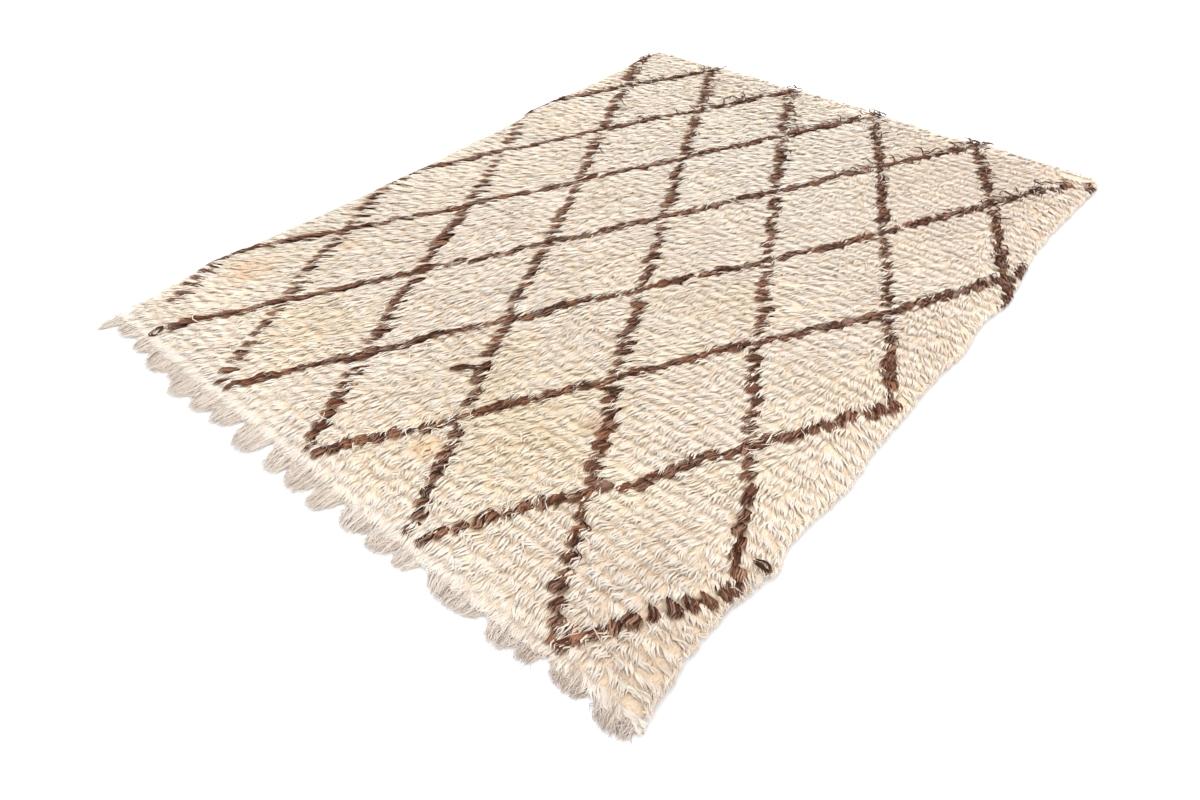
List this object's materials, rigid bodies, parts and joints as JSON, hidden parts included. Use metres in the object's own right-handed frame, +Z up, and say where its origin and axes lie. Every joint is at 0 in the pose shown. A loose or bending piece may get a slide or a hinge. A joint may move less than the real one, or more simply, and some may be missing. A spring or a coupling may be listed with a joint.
{
  "type": "long-pile knotted rug with a diamond lattice",
  "caption": "Rectangular shag wool rug lying flat, ivory with brown crossing lines, uneven edges with locks of pile, and a fringe of longer locks at one end.",
  "frame": {"origin": "on the floor, in the middle of the whole footprint, fringe and locks included", "axes": "+Y along the rug's length from the fringed end to the plain end, +X across it, +Z up"},
  "size_m": [2.0324, 2.6524, 0.0341],
  "materials": {
    "ivory_wool": "long ivory wool pile, brushed flat towards the fringed end",
    "brown_wool": "long brown wool pile of the crossing lines",
    "fringe_wool": "loose off-white wool locks"
  },
  "bodies": {
    "root": {"rug_pile_body": "ivory_wool", "rug_end_fringe": "fringe_wool"}
  },
  "joints": []
}
